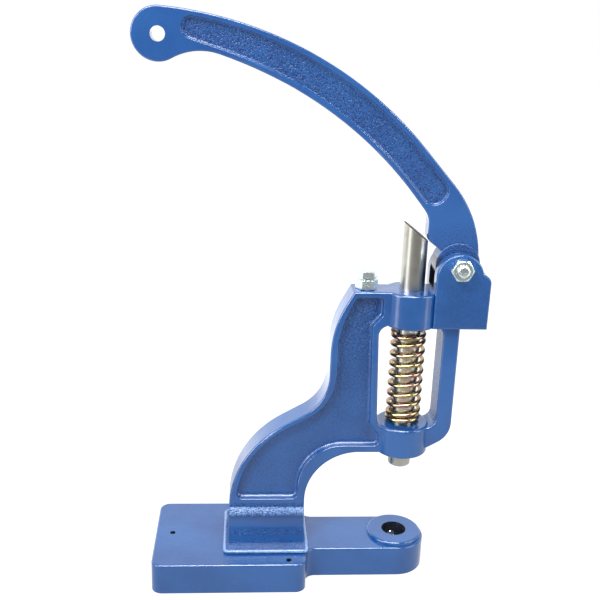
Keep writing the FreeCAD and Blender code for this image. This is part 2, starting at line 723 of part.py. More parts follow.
def pitchAt(turn):
    """Rise per turn: closed at the ends, eased into the open coils."""
    low = (turn - size("closedTurnsLow")) / easing
    high = (turns - size("closedTurnsHigh") - turn) / easing
    blend = max(0.0, min(1.0, low, high))
    return size("closedPitch") + (openPitch - size("closedPitch")) * blend


STEPS_PER_TURN = 240
totalSteps = int(round(turns * STEPS_PER_TURN))
rise = [0.0]
for step in range(totalSteps):
    rise.append(rise[-1] + pitchAt((step + 0.5) / STEPS_PER_TURN) / STEPS_PER_TURN)
stretch = (springHigh - springLow) / rise[-1]


def coilPoint(step):
    angle = 2 * math.pi * step / STEPS_PER_TURN
    return V(coilRadius * math.cos(angle), coilRadius * math.sin(angle), springLow + rise[step] * stretch)


def coilTangent(step):
    angle = 2 * math.pi * step / STEPS_PER_TURN
    climb = pitchAt(step / STEPS_PER_TURN) * stretch / (2 * math.pi)
    return V(-coilRadius * math.sin(angle), coilRadius * math.cos(angle), climb).normalize()


def tangentArc(start, tangent, end):
    """The arc from start, leaving along tangent, to end."""
    chord = end - start
    normal = chord - tangent * chord.dot(tangent)
    normal.normalize()
    radius = chord.Length ** 2 / (2 * chord.dot(normal))
    centre = start + normal * radius
    middle = centre + ((start + end) * 0.5 - centre).normalize() * radius
    return Part.Arc(start, middle, end).toShape()


def biarc(start, startTangent, end, endTangent):
    """Two arcs that join two points with the given directions at both."""
    chord = end - start
    both = startTangent + endTangent
    spread = 2 * (1 - startTangent.dot(endTangent))
    along = chord.dot(both)
    reach = (-along + math.sqrt(along ** 2 + spread * chord.dot(chord))) / spread
    joint = (start + startTangent * reach + end - endTangent * reach) * 0.5
    back = tangentArc(end, endTangent * -1, joint)
    first = tangentArc(start, startTangent, joint)
    second = Part.Arc(joint, back.valueAt((back.FirstParameter + back.LastParameter) / 2), end).toShape()
    return [first, second]


QUARTER = STEPS_PER_TURN // 4
springPath = [Part.LineSegment(coilPoint(0) - coilTangent(0) * size("wireDia"), coilPoint(0)).toShape()]
for step in range(0, totalSteps, QUARTER):
    springPath += biarc(coilPoint(step), coilTangent(step),
                        coilPoint(step + QUARTER), coilTangent(step + QUARTER))
springPath.append(Part.LineSegment(coilPoint(totalSteps),
                                   coilPoint(totalSteps) + coilTangent(totalSteps) * size("wireDia")).toShape())
springWire = Part.Wire(springPath)
springStart = coilPoint(0) - coilTangent(0) * size("wireDia")
wireSection = Part.Wire(Part.Circle(springStart, coilTangent(0), size("wireDia") / 2).toShape())
pipe = Part.BRepOffsetAPI.MakePipeShell(springWire)
pipe.add(wireSection)
pipe.build()
pipe.makeSolid()
returnSpring = doc.addObject("Part::Feature", "ReturnSpring")
returnSpring.Shape = pipe.shape()
returnSpring.Label = "return_spring"

CHECK_STEP = 6
halfTurn = STEPS_PER_TURN // CHECK_STEP // 2
centres = [coilPoint(step) for step in range(0, totalSteps + 1, CHECK_STEP)]
leastGap = min((a - b).Length for i, a in enumerate(centres) for b in centres[i + halfTurn:])
print("least gap of the spring to itself: %.2f mm" % (leastGap - size("wireDia")))
print("spring volume %.1f, section times length %.1f" % (
    returnSpring.Shape.Volume, math.pi * size("wireDia") ** 2 / 4 * springWire.Length))


# Hexagon heads and nuts

def hexagon(name, across, base, rotation, height):
    prism = doc.addObject("Part::Prism", name)
    prism.Polygon = 6
    prism.Placement = FreeCAD.Placement(V(0, 0, 0), rotation)
    bind(prism, "Circumradius", "(%s) / 2 / cos(30 deg)" % across)
    bind(prism, "Height", height)
    for letter, formula in zip("xyz", base):
        bind(prism, "Placement.Base." + letter, formula)
    return prism


def dressedHex(name, across, base, rotation, height, bothEnds):
    """A hexagon with its corners turned down to a cone at one or both ends."""
    prism = hexagon(name + "Prism", across, base, rotation, height)
    cone = doc.addObject("Part::Cone", name + "Dome")
    cone.Placement = FreeCAD.Placement(V(0, 0, 0), rotation)
    bind(cone, "Radius1", "(%s) / 2 / cos(30 deg) + (%s) * <hexConeRise>" % (across, height))
    bind(cone, "Radius2", "(%s) / 2 * <hexFlatShare>" % across)
    bind(cone, "Height", height)
    for letter, formula in zip("xyz", base):
        bind(cone, "Placement.Base." + letter, formula)
    made = doc.addObject("Part::Common", name)
    made.Base = prism
    made.Tool = cone
    if not bothEnds:
        return made
    under = doc.addObject("Part::Cone", name + "Under")
    under.Placement = FreeCAD.Placement(V(0, 0, 0), rotation)
    bind(under, "Radius1", "(%s) / 2 * <hexFlatShare>" % across)
    bind(under, "Radius2", "(%s) / 2 / cos(30 deg) + (%s) * <hexConeRise>" % (across, height))
    bind(under, "Height", height)
    for letter, formula in zip("xyz", base):
        bind(under, "Placement.Base." + letter, formula)
    both = doc.addObject("Part::Common", name + "Both")
    both.Base = made
    both.Tool = under
    return both


TOWARDS_FRONT = FreeCAD.Rotation(V(1, 0, 0), 90)
UPRIGHT = FreeCAD.Rotation()

# Pivot bolt from the back, nut at the front
boltHead = dressedHex("PivotHead", "<hexAcross>",
                      ("<pivotAcross>", "<blockWidth> / 2 + <seatGap>", "<pivotHeight>"), ALONG_Y,
                      "<headHeight>", False)
boltShankRaw = cylinder("PivotShankRaw", "<boltDia> / 2",
                        "<blockWidth> + <seatGap> * 2 + <nutHeight> + <boltEnd>",
                        ("<pivotAcross>", "-<blockWidth> / 2 - <seatGap> - <nutHeight> - <boltEnd>",
                         "<pivotHeight>"), ALONG_Y)
boltTip = -halfBlock - size("seatGap") - size("nutHeight") - size("boltEnd")
boltShank = chamfer("PivotShank", boltShankRaw, size("boltChamfer"), lambda e: flatAt(e, "Y", boltTip))
pivotBolt = fuse("PivotBolt", [boltHead, boltShank])
pivotBolt.Label = "pivot_bolt"

nutBody = dressedHex("PivotNutBody", "<hexAcross>",
                     ("<pivotAcross>", "-<blockWidth> / 2 - <seatGap>", "<pivotHeight>"), TOWARDS_FRONT,
                     "<nutHeight>", True)
nutHole = cylinder("PivotNutHole", "<boltDia> / 2 + <threadGap>", "<nutHeight> * 2",
                   ("<pivotAcross>", "-<blockWidth> / 2 - <nutHeight> * 1.5", "<pivotHeight>"), ALONG_Y)
pivotNut = cut("PivotNut", nutBody, nutHole)
pivotNut.Label = "pivot_nut"

# Stop bolt that ends the lever's stroke, with its lock nut
stopHead = dressedHex("StopHead", "<hexAcross>", ("-<stopAcross>", "0", "<stopHeadBottom>"), UPRIGHT,
                      "<headHeight>", False)
stopShankRaw = cylinder("StopShankRaw", "<boltDia> / 2",
                        "<stopHeadBottom> - <frameTop> + <stopDepth> - <stopTipGap> + <headHeight> / 2",
                        ("-<stopAcross>", "0", "<frameTop> - <stopDepth> + <stopTipGap>"))
stopTip = size("frameTop") - size("stopDepth") + size("stopTipGap")
stopShank = chamfer("StopShank", stopShankRaw, size("boltChamfer"),
                    lambda e: flatAt(e, "Z", stopTip))
stopBolt = fuse("StopBolt", [stopHead, stopShank])
stopBolt.Label = "stop_bolt"

lockBody = dressedHex("LockNutBody", "<hexAcross>", ("-<stopAcross>", "0", "<frameTop> + <seatGap>"),
                      UPRIGHT, "<nutHeight>", True)
lockHole = cylinder("LockNutHole", "<boltDia> / 2 + <threadGap>", "<nutHeight> * 2",
                    ("-<stopAcross>", "0", "<frameTop> - <nutHeight> / 2"))
lockNut = cut("StopLockNut", lockBody, lockHole)
lockNut.Label = "stop_lock_nut"

# Set screw that grips the lower die's shank, from the back of the arm
screwRaw = cylinder("DieScrewRaw", "<dieScrewDia> / 2", "<dieScrewLength>",
                    ("0", "<dieBoreDia> / 2 + <dieScrewBack>", "<dieScrewHeight>"), ALONG_Y)
screwTip = size("dieBoreDia") / 2 + size("dieScrewBack")
screwBody = chamfer("DieScrewBody", screwRaw, size("boltChamfer"),
                    lambda e: flatAt(e, "Y", screwTip) or flatAt(e, "Y", screwTip + size("dieScrewLength")))
screwKey = hexagon("DieScrewKey", "<dieScrewKey>",
                   ("0", "<dieBoreDia> / 2 + <dieScrewBack> + <dieScrewLength> - <dieScrewKeyDepth>",
                    "<dieScrewHeight>"), ALONG_Y, "<dieScrewKeyDepth> * 2")
dieScrew = cut("DieSetScrew", screwBody, screwKey)
dieScrew.Label = "die_set_screw"

SUB_PARTS = [bodyCasting, lever, ram, springPin, returnSpring, pivotBolt, pivotNut, stopBolt, lockNut,
             dieScrew]

doc.recompute()
problems = []
for obj in doc.Objects:
    if "Invalid" in obj.State or "Error" in obj.State:
        problems.append("%s: %s" % (obj.Name, obj.State))
for obj in SUB_PARTS:
    shape = obj.Shape
    if shape.isNull() or not shape.isValid() or len(shape.Solids) != 1:
        problems.append("%s: not one valid solid" % obj.Label)
if problems:
    raise SystemExit("\n".join(problems))

os.makedirs("parts", exist_ok=True)
for obj in SUB_PARTS:
    obj.Shape.exportStep("parts/%s.step" % obj.Label)
    bounds = obj.Shape.BoundBox
    print("%-14s %9.1f mm3  x %.1f to %.1f  y %.1f to %.1f  z %.1f to %.1f" % (
        obj.Label, obj.Shape.Volume, bounds.XMin, bounds.XMax, bounds.YMin, bounds.YMax,
        bounds.ZMin, bounds.ZMax))
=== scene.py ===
import math

import bmesh
import bpy
from mathutils import Matrix, Vector


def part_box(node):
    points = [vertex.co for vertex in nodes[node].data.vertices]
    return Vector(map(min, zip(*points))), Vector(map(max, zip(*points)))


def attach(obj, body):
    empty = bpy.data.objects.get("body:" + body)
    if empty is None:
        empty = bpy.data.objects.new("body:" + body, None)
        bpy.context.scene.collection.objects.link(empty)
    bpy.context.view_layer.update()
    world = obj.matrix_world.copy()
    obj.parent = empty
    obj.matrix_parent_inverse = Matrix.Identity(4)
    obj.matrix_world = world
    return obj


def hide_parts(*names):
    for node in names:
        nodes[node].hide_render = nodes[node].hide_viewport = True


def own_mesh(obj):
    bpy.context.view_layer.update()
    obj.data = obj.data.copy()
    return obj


# Hand eyelet press, dressed round its CAD frame. Metres, +Z up, the ram on the Z axis.

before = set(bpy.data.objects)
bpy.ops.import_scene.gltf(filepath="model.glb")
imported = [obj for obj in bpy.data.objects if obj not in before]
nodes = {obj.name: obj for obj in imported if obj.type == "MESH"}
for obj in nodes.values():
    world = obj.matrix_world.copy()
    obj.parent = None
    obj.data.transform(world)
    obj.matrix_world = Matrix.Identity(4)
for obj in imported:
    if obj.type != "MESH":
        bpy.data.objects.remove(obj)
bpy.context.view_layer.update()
print("frame loaded:", sorted(nodes))


# Node trees from Python expressions

class Signal:
    def __init__(self, graph, socket):
        self.graph = graph
        self.socket = socket

    def __getitem__(self, name):
        return Signal(self.graph, self.socket.node.outputs[name])

    def maths(self, operation, *others):
        sockets = dict(enumerate((self,) + others))
        return self.graph.node("ShaderNodeMath", {"operation": operation}, sockets)

    def __add__(self, other):
        return self.maths("ADD", other)

    def __sub__(self, other):
        return self.maths("SUBTRACT", other)

    def __mul__(self, other):
        return self.maths("MULTIPLY", other)

    def __truediv__(self, other):
        return self.maths("DIVIDE", other)

    def __pow__(self, other):
        return self.maths("POWER", other)

    def __abs__(self):
        return self.maths("ABSOLUTE")

    def __rsub__(self, other):
        return self.graph.node("ShaderNodeMath", {"operation": "SUBTRACT"}, {0: other, 1: self})

    __radd__ = __add__
    __rmul__ = __mul__

    def clamped(self, low, high):
        return self.maths("MAXIMUM", low).maths("MINIMUM", high)

    def step(self, start, end):
        return self.graph.node("ShaderNodeMapRange", {"interpolation_type": "SMOOTHSTEP", "clamp": True},
                               {"Value": self, "From Min": start, "From Max": end})

    def fall(self, start, end):
        return 1 - self.step(start, end)

    def within(self, rise, drop):
        return self.step(*rise) * self.fall(*drop)


class Graph:
    def __init__(self, tree):
        self.tree = tree

    def node(self, kind, settings=None, sockets=None):
        made = self.tree.nodes.new(kind)
        for name, value in (settings or {}).items():
            setattr(made, name, value)
        for name, value in (sockets or {}).items():
            socket = made.inputs[name]
            if isinstance(value, Signal):
                self.tree.links.new(value.socket, socket)
            else:
                socket.default_value = value
        first = next(output for output in made.outputs if output.enabled) if len(made.outputs) else None
        return Signal(self, first)

    def colourMix(self, factor, low, high):
        made = self.node("ShaderNodeMix", {"data_type": "RGBA"}).socket.node
        for name, value in (("Factor_Float", factor), ("A_Color", low), ("B_Color", high)):
            socket = next(s for s in made.inputs if s.identifier == name)
            if isinstance(value, Signal):
                self.tree.links.new(value.socket, socket)
            else:
                socket.default_value = value
        return Signal(self, next(s for s in made.outputs if s.identifier == "Result_Color"))


def newMaterial(name):
    made = bpy.data.materials.new(name)
    made.use_nodes = True
    made.node_tree.nodes.clear()
    return made, Graph(made.node_tree)


def finishMaterial(graph, sockets):
    shader = graph.node("ShaderNodeBsdfPrincipled", None, sockets)
    graph.node("ShaderNodeOutputMaterial", None, {"Surface": shader["BSDF"]})


def noiseAt(graph, place, settings):
    return graph.node("ShaderNodeTexNoise", None, dict(settings, Vector=place))["Fac"]


def rgb(red, green, blue):
    # A colour as seen on screen, 0 to 255, in the linear values that shaders use
    def linear(value):
        value = value / 255
        return value / 12.92 if value <= 0.04045 else ((value + 0.055) / 1.055) ** 2.4
    return (linear(red), linear(green), linear(blue), 1.0)


def distance(first, firstCentre, second, secondCentre):
    return ((first - firstCentre) ** 2.0 + (second - secondCentre) ** 2.0) ** 0.5


# Finishes. A pair of numbers is the start and the end of a soft step, two pairs its rise and its fall

enamelFinish = {
    "colour": rgb(30, 88, 154),
    "deepColour": rgb(22, 76, 140),
    "pitColour": rgb(10, 40, 96),
    "pitShare": 0.8,
    "pitMost": 0.9,
    "pitNoise": (0.30, 0.60),
    # Painted shade: the near black painted into the slot, the holes and the foot of the lever's nose
    "oilColour": rgb(26, 24, 24),
    "oilRoughness": 0.3,
    "roughness": 0.13,
    "patchRoughness": 0.05,
    "sunkRoughness": 0.12,
    "coat": 0.45,
    "sunkCoatLoss": 0.5,
    "coatRoughness": 0.05,
    "ior": 1.55,
    "facing": (0.4, 0.8),
    "hammer": {"Scale": 720.0, "Detail": 2.0, "Roughness": 0.45},
    "hammerHeight": 0.00080,
    "lumps": {"Scale": 420.0, "Smoothness": 0.8},
    "lumpHeight": 0.00034,
    "peel": {"Scale": 340.0, "Detail": 1.0},
    "peelHeight": 0.00014,
    "wave": {"Scale": 60.0, "Detail": 1.0},
    "waveHeight": 0.00040,
    "patches": {"Scale": 24.0, "Detail": 3.0},
    "patchNoise": (0.35, 0.75),
}

leverFinish = dict(enamelFinish, colour=rgb(42, 93, 159), deepColour=rgb(32, 82, 148), pitShare=0.85,
                   hammer={"Scale": 900.0, "Detail": 2.0, "Roughness": 0.45}, hammerHeight=0.00062,
                   lumps={"Scale": 560.0, "Smoothness": 0.8}, lumpHeight=0.00026)
# The beads' paler enamel is a painted highlight, standing for the glints along the cove and the foot
paintedGlintFinish = dict(enamelFinish, colour=rgb(138, 174, 222), deepColour=rgb(88, 134, 196),
                    pitColour=rgb(20, 64, 134), coat=1.0)


def enamelMaterial(name, values, rough, paintedShade):
    # rough gives where the sand of the mould shows through the enamel, the last function where shade is
    # painted in, both from the place split into X, Y and Z, and rough also from how far the surface faces
    # front or back
    made, graph = newMaterial(name)
    seen = graph.node("ShaderNodeTexCoord")
    place = seen["Object"]
    split = graph.node("ShaderNodeSeparateXYZ", None, {0: place})
    normal = graph.node("ShaderNodeSeparateXYZ", None, {0: seen["Normal"]})
    sunk = rough(split, abs(normal["Y"]).step(*values["facing"]))
    hammer = noiseAt(graph, place, values["hammer"])
    lumps = graph.node("ShaderNodeTexVoronoi", {"feature": "SMOOTH_F1"},
                       dict(values["lumps"], Vector=place))
    peel = noiseAt(graph, place, values["peel"])
    wave = noiseAt(graph, place, values["wave"])
    height = (hammer * values["hammerHeight"] * sunk
              - lumps["Distance"] * values["lumpHeight"] * sunk
              + peel * values["peelHeight"]
              + wave * values["waveHeight"])
    bump = graph.node("ShaderNodeBump", None, {"Height": height, "Strength": 1.0, "Distance": 1.0})
    patches = noiseAt(graph, place, values["patches"])
    pits = (hammer.fall(*values["pitNoise"]) * sunk * values["pitShare"]).clamped(0.0, values["pitMost"])
    colour = graph.colourMix(patches.step(*values["patchNoise"]), values["colour"], values["deepColour"])
    colour = graph.colourMix(pits, colour, values["pitColour"])
    roughness = values["roughness"] + patches * values["patchRoughness"] + sunk * values["sunkRoughness"]
    # Painted shade: the enamel is darkened towards near black where the mask says
    if paintedShade:
        shadeMask = paintedShade(split)
        colour = graph.colourMix(shadeMask, colour, values["oilColour"])
        roughness = roughness + shadeMask * values["oilRoughness"]
    finishMaterial(graph, {
        "Base Color": colour,
        "Roughness": roughness,
        "IOR": values["ior"],
        "Coat Weight": values["coat"] * (1 - sunk * values["sunkCoatLoss"]).maths("MAXIMUM", 0.0),
        "Coat Roughness": values["coatRoughness"],
        "Normal": bump,
    })
    return made


castingGrain = {
    "panelDepth": (0.0090, 0.0104),
    "panelFoot": (0.060, 0.064),
    "panelRight": (-0.029, -0.027),
    "panelShare": 0.55,
    "upperPanel": (0.12, 0.26),
    "barDepth": (0.0115, 0.0125),
    "barLeft": (0.024, 0.026),
    "barFoot": (0.13, 0.135),
    "barShare": 1.5,
    "blockLeft": (0.014, 0.018),
    "blockFoot": (0.222, 0.226),
    "blockShare": 0.3,
    "lipHeight": ((0.050, 0.056), (0.061, 0.066)),
    "lipDepth": (0.0120, 0.0135),
    "lipShare": 1.6,
    "coveHeight": ((0.0330, 0.0355), (0.0385, 0.0415)),
    "coveDepth": (0.0130, 0.0145),
    "coveShare": 0.8,
    "padHeight": ((0.0262, 0.0272), (0.0295, 0.0330)),
    "padRight": (-0.081, -0.078),
    "padShare": 0.6,
    "least": 0.05,
    "most": 2.2,
}


def castingRough(split, frontal):
    # The sunk panels, coarser higher up, the right upright's sides, the ear block and the cove
    values = castingGrain
    across = split["X"]
    high = split["Z"]
    depth = abs(split["Y"])
    panel = depth.fall(*values["panelDepth"]) * high.step(*values["panelFoot"])
    panel = panel * across.fall(*values["panelRight"]) * frontal
    panel = panel * (values["panelShare"] + high.step(*values["upperPanel"]))
    bar = depth.fall(*values["barDepth"]) * across.step(*values["barLeft"]) * high.step(*values["barFoot"])
    block = frontal * across.step(*values["blockLeft"]) * high.step(*values["blockFoot"])
    lip = high.within(*values["lipHeight"]) * depth.step(*values["lipDepth"])
    cove = high.within(*values["coveHeight"]) * depth.step(*values["coveDepth"])
    pad = high.within(*values["padHeight"]) * across.fall(*values["padRight"])
    edges = lip * values["lipShare"] + cove * values["coveShare"] + pad * values["padShare"]
    rough = panel + bar * (values["barShare"] - frontal) + block * values["blockShare"] + edges
    return rough.clamped(values["least"], values["most"])


# Where the casting's enamel is painted dark as shade
castingShadeZones = {
    "slotDepth": (0.0093, 0.0098),
    "slotAcross": ((0.011, 0.0125), (0.052, 0.054)),
    "slotFloor": (0.2535, 0.2550),
    "holes": (
        {"x": 0.0, "y": 0.0, "radius": 0.01075},
        {"x": -0.195, "y": 0.0, "radius": 0.0023},
        {"x": -0.0953, "y": -0.0418, "radius": 0.0023},
        {"x": -0.0953, "y": 0.0418, "radius": 0.0023},
    ),
    "holeEdge": 0.0001,
    "holeTop": (0.0305, 0.0310),
    "most": 0.94,
}


def castingPaintedShade(split):
    # Painted shade: the slot between the ears, the die's bore and the small screw holes are painted near
    # black
    values = castingShadeZones
    across = split["X"]
    shadeMask = abs(split["Y"]).fall(*values["slotDepth"]) * across.within(*values["slotAcross"])
    shadeMask = shadeMask * split["Z"].step(*values["slotFloor"])
    for hole in values["holes"]:
        away = distance(across, hole["x"], split["Y"], hole["y"])
        inside = away.fall(hole["radius"], hole["radius"] + values["holeEdge"])
        shadeMask = shadeMask + inside * split["Z"].fall(*values["holeTop"])
    return shadeMask.clamped(0.0, values["most"])


leverGrain = {
    "panelDepth": (0.0049, 0.0054),
    "panelShare": 0.9,
    "hubDepth": (0.0079, 0.0083),
    "rootReach": (0.024, 0.040),
    "rootShare": 0.45,
    "faceShare": 0.12,
    "least": 0.06,
    "most": 1.1,
    # The foot of the nose is painted dark as shade where it meets the ram
    "noseFoot": (0.2805, 0.2835),
    "noseRight": (0.020, 0.024),
    "noseOil": 0.8,
}
pivotLow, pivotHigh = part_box("pivot_bolt")
pivotX = (pivotLow.x + pivotHigh.x) / 2
pivotZ = (pivotLow.z + pivotHigh.z) / 2


def leverRough(split, frontal):
    # The sunk panels, the hub's disc and the blade round the pivot
    values = leverGrain
    depth = abs(split["Y"])
    panel = depth.fall(*values["panelDepth"]) * frontal
    hub = depth.step(*values["hubDepth"])
    away = distance(split["X"], pivotX, split["Z"], pivotZ)
    root = away.fall(*values["rootReach"]) * frontal
    rough = panel * values["panelShare"] + hub + root * values["rootShare"] + frontal * values["faceShare"]
    return rough.clamped(values["least"], values["most"])


def leverPaintedShade(split):
    # Painted shade at the foot of the nose, where it rubs on the ram
    values = leverGrain
    return split["Z"].fall(*values["noseFoot"]) * split["X"].fall(*values["noseRight"]) * values["noseOil"]


beadGrain = {
    "lipHeight": (0.040, 0.046),
    "lipShare": 1.3,
    "footShare": 0.5,
}


def beadRough(split, frontal):
    # Grainy along the cove, smoother round the foot
    values = beadGrain
    return split["Z"].step(*values["lipHeight"]) * values["lipShare"] + values["footShare"]


groundSteel = {
    "colour": rgb(184, 183, 175),
    "stainColour": rgb(166, 162, 150),
    "stain": {"Scale": 90.0, "Detail": 4.0},
    "stainNoise": (0.45, 0.75),
    "stainShare": 0.6,
    "stainRoughness": 0.05,
    # Painted shade: a dark band just under the edge of the slanted top
    "oilColour": rgb(40, 38, 36),
    "oilDepth": (0.0006, 0.0010),
    "oilShare": 0.95,
    "oilRoughness": 0.5,
    "roughness": 0.27,
    "marks": {"Scale": 1.0, "Detail": 3.0},
    "markSqueeze": (40.0, 40.0, 2600.0),
    "markRoughness": 0.03,
    "bumpStrength": 0.02,
    "bumpDepth": 0.00001,
}
ramSlope = 37.6
ramLow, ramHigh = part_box("ram")
ramLean = math.tan(math.radians(ramSlope))
ramAxisTop = ramHigh.z - ramLean * ramHigh.x


def steelMaterial(name, values):
    # Lathe marks run round the Z axis, with faint stains, and a band of painted shade just under the edge
    # of the slanted top, on which the lever's nose bears
    made, graph = newMaterial(name)
    place = graph.node("ShaderNodeTexCoord")["Object"]
    squeezed = graph.node("ShaderNodeMapping", None, {"Vector": place, "Scale": values["markSqueeze"]})
    marks = noiseAt(graph, squeezed, values["marks"])
    stain = noiseAt(graph, place, values["stain"])
    stained = stain.step(*values["stainNoise"]) * values["stainShare"]
    colour = graph.colourMix(stained, values["colour"], values["stainColour"])
    split = graph.node("ShaderNodeSeparateXYZ", None, {0: place})
    # Painted shade: a dark band just under the edge of the slanted top
    below = ramAxisTop - split["Z"] - split["X"] * ramLean
    edgeShade = below.fall(*values["oilDepth"]) * values["oilShare"]
    colour = graph.colourMix(edgeShade, colour, values["oilColour"])
    bump = graph.node("ShaderNodeBump", None, {
        "Height": marks,
        "Strength": values["bumpStrength"],
        "Distance": values["bumpDepth"],
    })
    finishMaterial(graph, {
        "Base Color": colour,
        "Metallic": 1 - edgeShade,
        "Roughness": (values["roughness"]
                      + marks * values["markRoughness"]
                      + stain * values["stainRoughness"]
                      + edgeShade * values["oilRoughness"]),
        "Normal": bump,
    })
    return made


zincPlate = {
    "colour": rgb(234, 247, 246),
    "dullColour": rgb(214, 229, 228),
    "bloom": {"Scale": 420.0, "Detail": 4.0},
    "bloomNoise": (0.4, 0.7),
    "bloomRoughness": 0.08,
    "roughness": 0.24,
    "bumpStrength": 0.15,
    "bumpDepth": 0.00002,
}


def zincMaterial(name, values):
    made, graph = newMaterial(name)
    place = graph.node("ShaderNodeTexCoord")["Object"]
    bloom = noiseAt(graph, place, values["bloom"])
    colour = graph.colourMix(bloom.step(*values["bloomNoise"]), values["colour"], values["dullColour"])
    bump = graph.node("ShaderNodeBump", None, {
        "Height": bloom,
        "Strength": values["bumpStrength"],
        "Distance": values["bumpDepth"],
    })
    finishMaterial(graph, {
        "Base Color": colour,
        "Metallic": 1.0,
        "Roughness": values["roughness"] + bloom * values["bloomRoughness"],
        "Normal": bump,
    })
    return made


passivate = {
    "gold": rgb(178, 157, 112),
    "rose": rgb(172, 130, 118),
    "green": rgb(146, 166, 120),
    "drift": {"Scale": 70.0, "Detail": 2.0},
    "driftNoise": (0.42, 0.62),
    "film": {"Scale": 240.0, "Detail": 2.0},
    "filmNoise": (0.55, 0.70),
    "filmShare": 0.7,
    "filmRoughness": 0.1,
    "roughness": 0.14,
}


def passivateMaterial(name, values):
    # Yellow chromate drifts between gold, rose and green
    made, graph = newMaterial(name)
    place = graph.node("ShaderNodeTexCoord")["Object"]
    drift = noiseAt(graph, place, values["drift"])
    film = noiseAt(graph, place, values["film"])
    colour = graph.colourMix(drift.step(*values["driftNoise"]), values["gold"], values["rose"])
    filmed = film.step(*values["filmNoise"]) * values["filmShare"]
    finishMaterial(graph, {
        "Base Color": graph.colourMix(filmed, colour, values["green"]),
        "Metallic": 1.0,
        "Roughness": values["roughness"] + film * values["filmRoughness"],
    })
    return made


castingEnamel = enamelMaterial("castingEnamel", enamelFinish, castingRough, castingPaintedShade)
leverEnamel = enamelMaterial("leverEnamel", leverFinish, leverRough, leverPaintedShade)
# The beads' paler enamel is a painted highlight
beadPaintedGlint = enamelMaterial("beadPaintedGlint", paintedGlintFinish, beadRough, None)
ramSteel = steelMaterial("ramSteel", groundSteel)
zinc = zincMaterial("zincPlate", zincPlate)
springMetal = passivateMaterial("springPassivate", passivate)
print("materials made")


# Cast pieces, the spring pin and the set screw keep the frame's own surface

def dress(mesh, material):
    mesh.materials.clear()
    mesh.materials.append(material)


for nodeName, material in (
    ("body_casting", castingEnamel),
    ("lever", leverEnamel),
    ("spring_pin", zinc),
    ("die_set_screw", zinc),
):
    dress(nodes[nodeName].data, material)
print("cast pieces dressed")


def addObject(name, data):
    made = bpy.data.objects.new(name, data)
    bpy.context.scene.collection.objects.link(made)
    return made


def keepPiece(name, mesh, material, nodeName, body):
    # The new piece stands for one node of the frame and moves with its body
    dress(mesh, material)
    made = addObject(name, mesh)
    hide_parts(nodeName)
    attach(made, body)
    return made


sharpAngle = math.radians(24)


def ringMesh(name, rings, closed):
    # Rings of equally many points; closed joins the last ring to the first, else both ends are capped
    mesh = bmesh.new()
    loops = [[mesh.verts.new(point) for point in ring] for ring in rings]
    pairs = list(zip(loops, loops[1:]))
    if closed:
        pairs.append((loops[-1], loops[0]))
    for low, high in pairs:
        for i in range(len(low)):
            j = (i + 1) % len(low)
            mesh.faces.new((low[i], low[j], high[j], high[i]))
    if not closed:
        mesh.faces.new(list(reversed(loops[0])))
        mesh.faces.new(loops[-1])
    bmesh.ops.recalc_face_normals(mesh, faces=mesh.faces)
    made = bpy.data.meshes.new(name)
    mesh.to_mesh(made)
    mesh.free()
    made.polygons.foreach_set("use_smooth", [True] * len(made.polygons))
    made.set_sharp_from_angle(angle=sharpAngle)
    return made


def turned(height, radius, steps, place):
    # One ring round the axis, its radius a function of the angle and the height
    points = []
    for i in range(steps):
        angle = 2 * math.pi * i / steps
        reach = radius(angle, height) if callable(radius) else radius
        points.append(place @ Vector((reach * math.cos(angle), reach * math.sin(angle), height)))
    return points


# Bolts and nuts: chamfered hexagons and cut threads

fastenerSizes = {
    "steps": 96,
    "across": 0.0160,
    "chamferSlope": 0.55,
    "chamferLevels": 6,
    "faceShare": 0.95,
    "headDepth": 0.0064,
    "threadRadius": 0.0050,
    "threadDepth": 0.00055,
    "threadPitch": 0.0015,
    "threadStep": 0.000125,
    "leadIn": 0.0004,
    "threadEnd": 0.0012,
    "tipDepth": 0.0008,
    "tipShares": (0.80, 0.60, 0.30, 0.04),
    "tipFall": 0.55,
    "headCentre": 0.9,
    "boreClearance": 0.00005,
    "mouth": 0.0006,
    "pivotTurn": 31,
    "pivotThreadStart": 0.012,
    "stopTurn": 30,
}


def hexRadius(angle, height=0):
    half = math.pi / 6
    within = (angle + half) % (2 * half) - half
    return fastenerSizes["across"] / 2 / math.cos(within)


def hexRings(low, high, chamferHigh, place):
    # The cone at each end cuts the corners back and leaves arched flats. The low end is always cut
    values = fastenerSizes
    steps = values["steps"]
    levels = values["chamferLevels"]
    face = values["across"] / 2 * values["faceShare"]
    corner = values["across"] / 2 / math.cos(math.pi / 6)
    drop = (corner - face) * values["chamferSlope"]

    def cut(level):
        reach = face + drop * level / levels / values["chamferSlope"]
        return lambda angle, height: min(hexRadius(angle), reach)

    rings = [turned(low + drop * k / levels, cut(k), steps, place) for k in range(levels)]
    rings.append(turned(low + drop, hexRadius, steps, place))
    rings.append(turned(high - (drop if chamferHigh else 0), hexRadius, steps, place))
    if chamferHigh:
        rings += [turned(high - drop * k / levels, cut(k), steps, place) for k in reversed(range(levels))]
    return rings


def threadRings(low, high, place):
    values = fastenerSizes
    count = max(2, round((high - low) / values["threadStep"]))

    def radius(angle, height):
        phase = (height / values["threadPitch"] - angle / (2 * math.pi)) % 1.0
        return values["threadRadius"] - values["threadDepth"] * abs(2 * phase - 1)

    return [turned(low + (high - low) * k / count, radius, values["steps"], place)
            for k in range(count + 1)]


def tipRings(start, end, place):
    # A chamfer and a low dome close the bolt's end
    values = fastenerSizes
    steps = values["steps"]
    root = values["threadRadius"] - values["threadDepth"]
    rings = [turned(start, root, steps, place)]
    for share in values["tipShares"]:
        height = start + (end - start) * (1 - share ** 2 * values["tipFall"])
        rings.append(turned(height, root * share, steps, place))
    return rings


